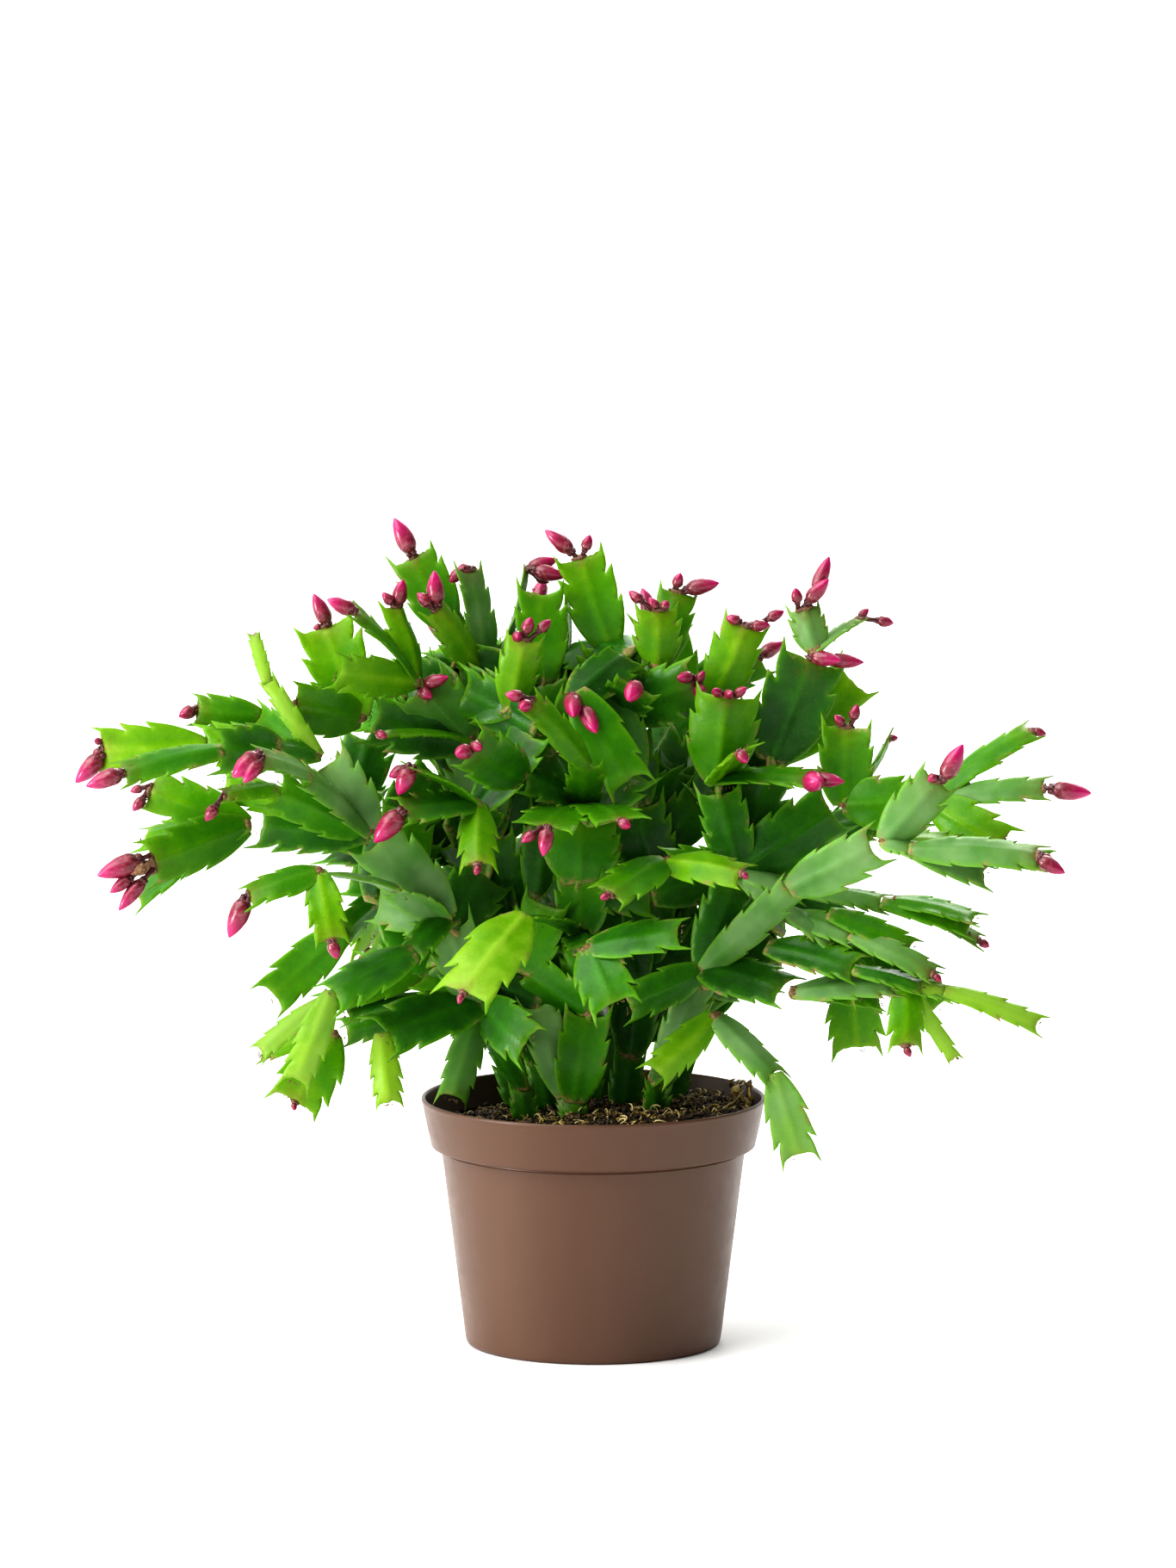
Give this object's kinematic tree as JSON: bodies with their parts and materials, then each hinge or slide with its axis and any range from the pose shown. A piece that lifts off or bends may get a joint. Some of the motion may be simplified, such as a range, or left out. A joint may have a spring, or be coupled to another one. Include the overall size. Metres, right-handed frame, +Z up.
{
  "type": "potted christmas cactus",
  "caption": "Jointed flat-stemmed cactus with toothed segments and pink flower buds, rooted in compost in a round nursery pot.",
  "frame": {"origin": "middle of the pot's underside", "axes": "+Z up; -Y is the front, which the widest spread faces; +X to the right seen from the front"},
  "size_m": [0.3808, 0.1988, 0.3127],
  "materials": {
    "pot": "satin brown moulded plastic",
    "soil": "loose dark peat compost with pale fibres",
    "old_green": "waxy dark green",
    "waxy_green": "grey-green with a waxy bloom",
    "young_green": "smooth fresh yellow-green",
    "flower_buds": "smooth pink with a brown-red foot"
  },
  "bodies": {
    "root": {"back_fork": "old_green", "back_left_fan": "young_green", "back_left_low_fan": "old_green", "back_right_fan": "young_green", "back_right_low_fan": "old_green", "bud_left_droop": "flower_buds", "bud_right_far": "flower_buds", "buds_left_edge": "flower_buds", "buds_left_far": "flower_buds", "buds_left_front": "flower_buds", "buds_left_low": "flower_buds", "buds_left_pair": "flower_buds", "buds_right_tall": "flower_buds", "buds_top_left": "flower_buds", "buds_top_middle": "flower_buds", "buds_top_right": "flower_buds", "centre_fall": "young_green", "centre_fan": "old_green", "centre_top_fork": "old_green", "front_fork": "old_green", "front_hang": "young_green", "front_left_fan": "old_green", "front_mid_fan": "young_green", "left_droop": "old_green", "left_far_low": "young_green", "left_far_top": "young_green", "left_low_fork": "waxy_green", "left_low_tips": "young_green", "left_mid_fork": "waxy_green", "left_top_fork": "waxy_green", "left_wide_fan": "young_green", "pot": "pot", "rear_left_fork": "waxy_green", "rear_right_fork": "old_green", "right_bottom_fan": "waxy_green", "right_centre_fan": "young_green", "right_far_fan": "old_green", "right_far_fork": "old_green", "right_fork": "old_green", "right_front_fan": "waxy_green", "right_hub": "old_green", "right_low_fan": "waxy_green", "right_low_tips": "young_green", "right_spray": "old_green", "right_tall": "old_green", "right_tall_tips": "waxy_green", "soil": "soil", "stem_back": "old_green", "stem_back_left": "old_green", "stem_back_right": "old_green", "stem_centre": "old_green", "stem_left": "old_green", "stem_rear_left": "old_green", "stem_rear_right": "old_green", "stem_right": "waxy_green", "top_left_fan": "old_green", "top_rear_left_fan": "old_green", "top_right_fan": "young_green", "top_right_fork": "young_green", "upper_left_fork": "waxy_green"}
  },
  "joints": []
}
